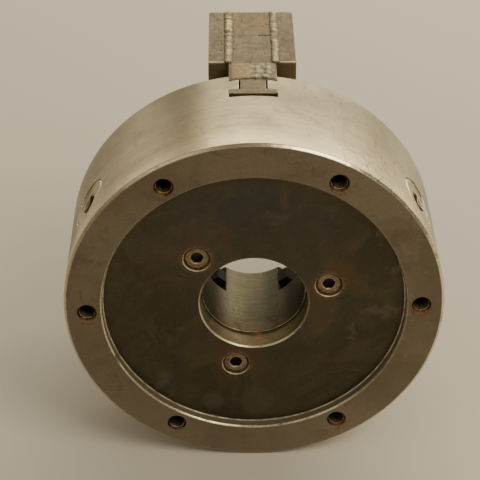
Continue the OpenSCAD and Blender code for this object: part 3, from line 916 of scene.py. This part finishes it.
def weld_bead(rng, side, angle, crown):
    """A weld bead along the seam: a half ellipse carried along the depth. Its middle, width and
    height wander, blobs swell it here and there, each run of the rod leaves a curved ripple, small
    waves roughen the skin, and both ends taper to a point."""
    rows, columns, blob_count, rod_step = 300, 26, 13, 0.0017
    start, end = BLOCK_LOW.y - 0.0010, WELD_HIGH.y
    depth = np.linspace(start, end, rows)
    t = np.linspace(0, 2 * np.pi, columns, endpoint=False)
    taper = np.clip(np.minimum(depth - start, end - depth) / 0.0015, 0, 1)
    taper = np.sqrt(1 - (1 - taper) ** 2) * 0.97 + 0.03
    blobs = np.zeros(rows)
    for centre, size in zip(rng.uniform(start, end, blob_count),
                            rng.uniform(0.0007, 0.0019, blob_count)):
        blobs += np.exp(-((depth - centre) / size) ** 2) * rng.uniform(-0.5, 1.0)
    blobs = np.clip(blobs, -0.5, 1.0)
    half_width = (0.00245 + 0.00022 * smooth_random(rng, rows, 17) + 0.00026 * blobs) * taper
    tall = 0.66 + 0.20 * smooth_random(rng, rows, 18) + 0.36 * blobs
    tall = crown * np.clip(tall, 0.25, 1.06) * taper
    middle = JAW_HIGH.x * side + 0.00028 * smooth_random(rng, rows, 9)
    middle = middle + 0.00012 * smooth_random(rng, rows, 30)
    s, c = np.sin(t)[None, :], np.cos(t)[None, :]
    ripple = np.cos(2 * np.pi * (depth[:, None] / rod_step + 0.35 * s ** 2
                                 + 0.45 * smooth_random(rng, rows, 14)[:, None]))
    lift = 1 + 0.06 * ripple
    outward = np.where(c > 0, tall[:, None] * np.abs(c) ** 1.7 * lift, 0.0012 * c * taper[:, None])
    across = middle[:, None] + half_width[:, None] * s * (1 + 0.06 * ripple)
    along = np.broadcast_to(depth[:, None], outward.shape)
    skin = 0.00009 * wave_field(rng, across, along, 12, 0.0007, 0.0022) * taper[:, None]
    outward = np.minimum(outward + np.where(c > 0.1, skin, 0), crown * 1.12) + JAW_HIGH.z
    return capped_tube(turned_to_jaw(np.stack([outward, across, along], -1), angle))


def weld_patch(rng, angle, lowest, highest, width, thick):
    """A built-up pad of weld metal over a flat back that sits just inside the jaw. Its height is
    level runs of the rod, smooth on the left, with random lumps growing towards the right, and it
    thins to a ragged outline."""
    rows, columns, run_step = 120, 96, 0.0046
    u = np.linspace(-1, 1, columns)[None, :]
    v = np.linspace(0, 1, rows)[:, None]
    ragged_side = 0.00035 * smooth_random(rng, rows, 18)[:, None]
    ragged_end = 0.00045 * smooth_random(rng, columns, 16)[None, :]
    across = u * (width / 2 - 0.0004 + ragged_side)
    middle = (lowest + highest) / 2
    depth = middle + (2 * v - 1) * ((highest - lowest) / 2 - 0.0005 + ragged_end)
    fade = (1 - np.abs(u) ** 10) * (1 - np.abs(2 * v - 1) ** 14)
    lumps = wave_field(rng, across, depth, 16, 0.0020, 0.0060)
    small = wave_field(rng, across, depth, 18, 0.0008, 0.0020)
    wander = 0.0007 * wave_field(rng, across, depth, 4, 0.008, 0.02)
    runs = np.abs(np.sin(np.pi * (depth + wander) / run_step)) ** 0.7
    to_right = 1 / (1 + np.exp(-(across - 0.0005) / 0.0022))
    raised = 0.36 + 0.04 * runs + (0.12 + 0.88 * to_right) * (0.23 * lumps + 0.070 * small)
    raised = raised + 0.14 * to_right
    top = thick * np.clip(raised, 0.08, 1.0) * fade + 0.00004
    front = np.stack([JAW_HIGH.z + top, across, depth], -1)
    back = np.stack([np.full_like(top, JAW_HIGH.z - 0.0003), across, depth], -1)
    count = rows * columns
    inner = grid_faces(rows, columns)
    edge = np.concatenate([np.arange(columns), np.arange(1, rows) * columns + columns - 1,
                           (rows - 1) * columns + np.arange(columns - 2, -1, -1),
                           np.arange(rows - 2, 0, -1) * columns])
    after = np.roll(edge, -1)
    wall = np.stack([after, edge, edge + count, after + count], -1)
    points = turned_to_jaw(np.concatenate([front.reshape(-1, 3), back.reshape(-1, 3)]), angle)
    return points, np.concatenate([inner, inner[:, ::-1] + count, wall]).tolist()


def spatter(rng, angle, count):
    """Droplets of weld metal thrown on to the blocks: small squashed balls, half sunk, most of them
    close to a seam."""
    rings, around = 5, 8
    spread, reach = 0.0035, 0.0228
    polar = np.linspace(0.25, np.pi - 0.25, rings)[:, None]
    turn = np.linspace(0, 2 * np.pi, around, endpoint=False)[None, :]
    ball = np.stack([np.cos(polar) * np.ones_like(turn), np.sin(polar) * np.cos(turn),
                     np.sin(polar) * np.sin(turn)], -1)
    shells = []
    for _ in range(count):
        side = rng.choice((-1, 1))
        across = float(np.clip(side * JAW_HIGH.x + rng.normal(0, spread), -reach, reach))
        depth = rng.uniform(BLOCK_LOW.y + 0.001, BLOCK_HIGH.y - 0.002)
        size = rng.uniform(0.00018, 0.00050)
        points = ball * size * np.array([0.6, 1.0, 1.15]) + np.array([JAW_HIGH.z, across, depth])
        shells.append(capped_tube(turned_to_jaw(points, angle)))
    return shells


def round_axis(circle, angle, radius, turn, depth):
    """Points at a radius, turn and depth about an axis that is parallel to Y and stands on a circle
    at an angle."""
    a = math.radians(angle)
    x = circle * math.cos(a) + radius * np.cos(turn)
    z = circle * math.sin(a) + radius * np.sin(turn)
    return np.stack([x, depth, z], -1)


def thread_sleeve(angle):
    """The thread in one tapped hole: a helix cut in a thin sleeve. Its radius is a clipped zigzag
    of the turn plus the depth over the pitch; the sleeve's outside is the hole's wall."""
    pitch, start, end = 0.0015, 0.0014, 0.0190
    rows, columns = int((end - start) / pitch * 8), 36
    depth = np.linspace(start, end, rows)[:, None]
    t = np.linspace(0, 2 * np.pi, columns, endpoint=False)[None, :]
    phase = (depth / pitch + t / (2 * np.pi)) % 1.0
    zigzag = 1 - np.abs(2 * phase - 1)
    ends = np.clip(np.minimum(depth - start, end - depth) / 0.0008, 0, 1)
    inner = HOLE_RADIUS - 0.00006 - 0.00038 * np.clip(zigzag * 1.2, 0, 1) * ends
    outer = np.full_like(inner, HOLE_RADIUS - 0.00001)
    radius = np.concatenate([inner, outer[::-1]])
    along = np.broadcast_to(depth, inner.shape)
    along = np.concatenate([along, along[::-1]])
    points = round_axis(HOLE_CIRCLE, angle, radius, t, along)
    return points.reshape(-1, 3), grid_faces(len(points), columns, True, True).tolist()


def grime_ring(rng, angle):
    """Dirt packed in the gap round one cover screw: a ring whose top surface sags between the head
    and the recess and wanders up and down, over a flat underside."""
    around = 90
    t = np.linspace(0, 2 * np.pi, around, endpoint=False)[:, None]
    share = np.linspace(0, 1, 7)[None, :]
    inner, outer = 0.00640, SCREW_SEAT - 0.00004
    fill = SCREW_FACE + 0.00055
    wave = sum(rng.uniform(0.2, 1.0) * np.sin(k * t + rng.uniform(0, 2 * np.pi))
               for k in range(2, 12)) / 3
    radius = inner + (outer - inner) * share + 0 * t
    depth = fill - 0.00040 * (2 * share - 1) ** 2 + 0.00012 * wave * (0.4 + share)
    low = np.full((around, 2), fill + 0.0012)
    radius = np.concatenate([radius, np.full((around, 1), outer), np.full((around, 1), inner)], 1)
    depth = np.concatenate([depth, low], 1)
    points = round_axis(SCREW_CIRCLE, angle, radius, t, depth)
    return points.reshape(-1, 3), grid_faces(*points.shape[:2], True, True).tolist()


# ---------------------------------------------------------------- settings

def colour_setting(name, description, default):
    return bpy.props.FloatVectorProperty(name=name, description=description, subtype="COLOR",
                                         size=4, min=0.0, max=1.0, default=(*default, 1.0))


def number_setting(name, description, default, **rest):
    return bpy.props.FloatProperty(name=name, description=description, default=default, **rest)


def power_setting(name, description, default):
    return number_setting(name, description, default, min=0.0, subtype="POWER")


class ChuckFinish(bpy.types.PropertyGroup):
    rim_dark: colour_setting("Rim shade", "Darker streaks of the rim", (0.375, 0.322, 0.210))
    rim_light: colour_setting("Rim light", "Lighter streaks of the rim", (0.505, 0.438, 0.292))
    ring_dark: colour_setting("Ring shade", "Darker grain of the ring", (0.190, 0.158, 0.114))
    ring_light: colour_setting("Ring light", "Lighter grain of the ring", (0.262, 0.220, 0.164))
    bore_dark: colour_setting("Bore shade", "Darker rings of the bore", (0.095, 0.088, 0.057))
    bore_light: colour_setting("Bore light", "Lighter rings of the bore", (0.138, 0.129, 0.085))
    cover_dark: colour_setting("Cover shade", "Darker tone of the cover", (0.072, 0.062, 0.041))
    cover_light: colour_setting("Cover light", "Lighter tone of the cover", (0.104, 0.090, 0.060))
    lip: colour_setting("Cover bore", "Turned edge of the cover's hole", (0.235, 0.205, 0.120))
    block_dark: colour_setting("Block shade", "Darker grain of the blocks", (0.092, 0.076, 0.044))
    block_light: colour_setting("Block light", "Lighter grain of the blocks", (0.158, 0.132, 0.080))
    sawn: colour_setting("Sawn ends", "Rear ends of the jaw blocks", (0.345, 0.268, 0.138))
    heat: colour_setting("Heat tint", "Brown tint of the welded block", (0.158, 0.104, 0.050))
    weld_dark: colour_setting("Weld shade", "Hollows of the weld metal", (0.150, 0.124, 0.080))
    weld_light: colour_setting("Weld light", "Crowns of the weld metal", (0.400, 0.350, 0.205))


class ChuckWelds(bpy.types.PropertyGroup):
    crown: number_setting("Bead height", "How far a weld bead stands proud", 0.00113,
                          min=0.0, max=0.002, unit="LENGTH")
    pad: number_setting("Pad thickness", "Thickness of the built-up weld pad", 0.00108,
                        min=0.0, max=0.002, unit="LENGTH")
    drops: bpy.props.IntProperty(name="Droplets", description="Spatter droplets on each jaw",
                                 default=70, min=0, max=400)


class ChuckStage(bpy.types.PropertyGroup):
    eye: bpy.props.FloatVectorProperty(name="Camera place", description="Where the camera stands",
                                       subtype="TRANSLATION", unit="LENGTH", size=3,
                                       default=(-0.0136, -0.6804, 0.4942))
    pitch: number_setting("Camera pitch", "How far the camera looks down", math.radians(33.51),
                          subtype="ANGLE")
    yaw: number_setting("Camera yaw", "How far the camera looks to the right", math.radians(0.52),
                        subtype="ANGLE")
    lens: number_setting("Lens", "Focal length on a 36 mm sensor, in mm", 119.9, min=10.0)
    floor: colour_setting("Floor", "Plain pale floor", (0.72, 0.69, 0.64))
    light: colour_setting("Light colour", "Colour of all lights", (1.0, 0.880, 0.650))
    room: number_setting("Room light", "Strength of the even light from all round", 0.24, min=0.0)
    back: power_setting("Back light", "Power of the wide light behind", 22.0)
    left: power_setting("Left light", "Power of the light behind on the left", 2.0)
    side: power_setting("Side light", "Power of the light behind on the right", 5.5)
    top: power_setting("Top light", "Power of the light above, right of the camera", 7.5)
    fill: power_setting("Fill light", "Power of the light left of the camera", 1.4)


# ---------------------------------------------------------------- operators

class CHUCK_OT_body(bpy.types.Operator):
    """Gives the chuck body its ground, turned and worn surfaces"""
    bl_idname = "chuck.finish_body"
    bl_label = "Finish body"

    def execute(self, context):
        give(["chuck_body"], body_material(context.scene.chuck_finish))
        return {"FINISHED"}


class CHUCK_OT_cover(bpy.types.Operator):
    """Gives the rear cover its dark oily surface"""
    bl_idname = "chuck.finish_cover"
    bl_label = "Finish rear cover"

    def execute(self, context):
        give(["back_cover"], cover_material(context.scene.chuck_finish))
        return {"FINISHED"}


class CHUCK_OT_fasteners(bpy.types.Operator):
    """Gives the cover screws and retaining pins their surfaces"""
    bl_idname = "chuck.finish_fasteners"
    bl_label = "Finish screws and pins"

    def execute(self, context):
        give(["cover_screws"], screw_material())
        give(["pinion_retaining_pins"], plain_steel("pin steel", (0.34, 0.32, 0.27),
                                                    (0.52, 0.49, 0.42), 0.28, lathe=False))
        return {"FINISHED"}


class CHUCK_OT_works(bpy.types.Operator):
    """Gives the scroll and the key pinions their surfaces"""
    bl_idname = "chuck.finish_works"
    bl_label = "Finish scroll and pinions"

    def execute(self, context):
        give(["scroll_plate"], plain_steel("greased scroll steel", (0.26, 0.23, 0.175),
                                           (0.42, 0.38, 0.30), 0.30, dirt=0.6))
        for k, angle in enumerate(PINION_ANGLES, 1):
            give([f"pinion_{k}"], pinion_material(angle, context.scene.chuck_finish))
        return {"FINISHED"}


class CHUCK_OT_jaws(bpy.types.Operator):
    """Gives the jaws, their extensions and side blocks their mill and ground surfaces"""
    bl_idname = "chuck.finish_jaws"
    bl_label = "Finish jaws"

    def execute(self, context):
        finish = context.scene.chuck_finish
        for k, angle in enumerate(JAW_ANGLES, 1):
            give([f"jaw_{k}", f"jaw_{k}_extension"],
                 block_material(f"jaw steel {k}", angle, finish, True))
            give([f"jaw_{k}_side_blocks"],
                 block_material(f"side block steel {k}", angle, finish, False))
        return {"FINISHED"}


class CHUCK_OT_welds(bpy.types.Operator):
    """Lays the weld beads, the built-up pads and the spatter on the three jaws"""
    bl_idname = "chuck.lay_welds"
    bl_label = "Lay welds"

    def execute(self, context):
        welds = context.scene.chuck_welds
        material = weld_material(context.scene.chuck_finish)
        for k, angle in enumerate(JAW_ANGLES, 1):
            rng = np.random.default_rng(40 + k)
            shells = [weld_bead(rng, side, angle, welds.crown) for side in (-1, 1)]
            shells.append(weld_patch(rng, angle, WELD_LOW.y, BLOCK_LOW.y - 0.001,
                                     2 * JAW_HIGH.x - 0.0006, welds.pad))
            shells += spatter(rng, angle, welds.drops)
            piece = mesh_piece(f"welds_{k}", shells, material, angle)
            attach(piece, f"jaw_assembly_{k}")
            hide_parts(f"jaw_{k}_welds")
        return {"FINISHED"}


class CHUCK_OT_threads(bpy.types.Operator):
    """Cuts the threads in the six tapped holes of the rear ring"""
    bl_idname = "chuck.cut_threads"
    bl_label = "Cut threads"

    def execute(self, context):
        # painted shade: the threads are coloured nearly black, as the inside of a hole falls in
        # shade, with some rust
        material = plain_steel("thread steel painted dark as shade", (0.026, 0.020, 0.014), (0.060, 0.045, 0.030),
                               0.50, 0.30, lathe=False)
        shells = [thread_sleeve(HOLE_TURN + 360 * i / HOLE_COUNT) for i in range(HOLE_COUNT)]
        piece = mesh_piece("fixing_threads", shells, material)
        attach(piece, "housing")
        return {"FINISHED"}


class CHUCK_OT_grime(bpy.types.Operator):
    """Packs dirt in the gaps round the three cover screws"""
    bl_idname = "chuck.pack_grime"
    bl_label = "Pack grime"

    def execute(self, context):
        rng = np.random.default_rng(7)
        shells = [grime_ring(rng, SCREW_TURN + 360 * i / SCREW_COUNT) for i in range(SCREW_COUNT)]
        piece = mesh_piece("screw_grime", shells, grime_material())
        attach(piece, "housing")
        return {"FINISHED"}


def area_light(name, place, target, size, power, tint):
    """A soft rectangular light at a place, facing a target point."""
    lamp = bpy.data.lights.new(name, "AREA")
    lamp.shape = "RECTANGLE"
    lamp.size, lamp.size_y = size
    lamp.energy = power
    lamp.color = tint
    shown = bpy.data.objects.new(name, lamp)
    shown.location = place
    shown.rotation_euler = (Vector(target) - Vector(place)).to_track_quat("-Z", "Y").to_euler()
    shown.visible_camera = False
    bpy.context.scene.collection.objects.link(shown)


class CHUCK_OT_stage(bpy.types.Operator):
    """Sets the plain pale floor, the soft lights and the camera"""
    bl_idname = "chuck.set_stage"
    bl_label = "Set stage"

    def execute(self, context):
        stage = context.scene.chuck_stage
        material, n, shader = start_material("plain pale floor")
        tone = n.stains(3.0, 0.5, 0.3, 0.3)
        base = n.tint(tuple(stage.floor), tone, 0.10, (0.68, 0.645, 0.59))
        n.put(shader.inputs["Base Color"], base)
        shader.inputs["Roughness"].default_value = 0.75
        mesh = bpy.data.meshes.new("floor")
        reach, level = 3.0, BODY_LOW.z - 0.0002
        mesh.from_pydata([(-reach, -reach, level), (reach, -reach, level), (reach, reach, level),
                          (-reach, reach, level)], [], [(0, 1, 2, 3)])
        mesh.materials.append(material)
        floor = bpy.data.objects.new("floor", mesh)
        context.scene.collection.objects.link(floor)

        world = bpy.data.worlds.new("soft room")
        world.use_nodes = True
        nodes = world.node_tree.nodes
        background = nodes.get("Background") or nodes.new("ShaderNodeBackground")
        background.inputs["Color"].default_value = tuple(stage.light)
        background.inputs["Strength"].default_value = stage.room
        context.scene.world = world
        middle = (0.0, 0.05, 0.0)
        tint = tuple(stage.light)[:3]
        for name, place, size, power in (
                ("back light", (0.40, 1.50, 0.85), (1.9, 1.2), stage.back),
                ("left light", (-0.95, 1.25, 0.40), (0.8, 0.6), stage.left),
                ("side light", (1.15, 0.95, 0.30), (0.5, 0.7), stage.side),
                ("top light", (0.62, -0.60, 1.00), (0.75, 0.5), stage.top),
                ("fill light", (-0.90, -0.80, 0.90), (1.0, 1.0), stage.fill)):
            area_light(name, place, middle, size, power, tint)

        camera = bpy.data.objects.new("camera", bpy.data.cameras.new("camera"))
        camera.data.lens = stage.lens
        camera.data.sensor_width = 36.0
        camera.data.clip_start = 0.02
        camera.location = stage.eye
        camera.rotation_euler = Euler((math.pi / 2 - stage.pitch, 0.0, -stage.yaw))
        context.scene.collection.objects.link(camera)
        context.scene.camera = camera
        return {"FINISHED"}


OPERATORS = (CHUCK_OT_body, CHUCK_OT_cover, CHUCK_OT_fasteners, CHUCK_OT_works, CHUCK_OT_jaws,
             CHUCK_OT_welds, CHUCK_OT_threads, CHUCK_OT_grime, CHUCK_OT_stage)


class CHUCK_PT_panel(bpy.types.Panel):
    """Lists the chuck's operators and settings in the sidebar"""
    bl_label = "Scroll chuck"
    bl_idname = "CHUCK_PT_panel"
    bl_space_type = "VIEW_3D"
    bl_region_type = "UI"
    bl_category = "Chuck"

    def draw(self, context):
        for operator in OPERATORS:
            self.layout.operator(operator.bl_idname)
        scene = context.scene
        for settings in (scene.chuck_finish, scene.chuck_welds, scene.chuck_stage):
            box = self.layout.box()
            for key in settings.bl_rna.properties.keys():
                if key not in ("rna_type", "name"):
                    box.prop(settings, key)


CLASSES = (ChuckFinish, ChuckWelds, ChuckStage) + OPERATORS + (CHUCK_PT_panel,)


def register():
    for item in CLASSES:
        bpy.utils.register_class(item)
    bpy.types.Scene.chuck_finish = bpy.props.PointerProperty(type=ChuckFinish)
    bpy.types.Scene.chuck_welds = bpy.props.PointerProperty(type=ChuckWelds)
    bpy.types.Scene.chuck_stage = bpy.props.PointerProperty(type=ChuckStage)


def unregister():
    for name in ("chuck_stage", "chuck_welds", "chuck_finish"):
        delattr(bpy.types.Scene, name)
    for item in reversed(CLASSES):
        bpy.utils.unregister_class(item)


def main():
    register()
    for operator in OPERATORS:
        group, name = operator.bl_idname.split(".")
        getattr(getattr(bpy.ops, group), name)()


if __name__ == "__main__":
    main()
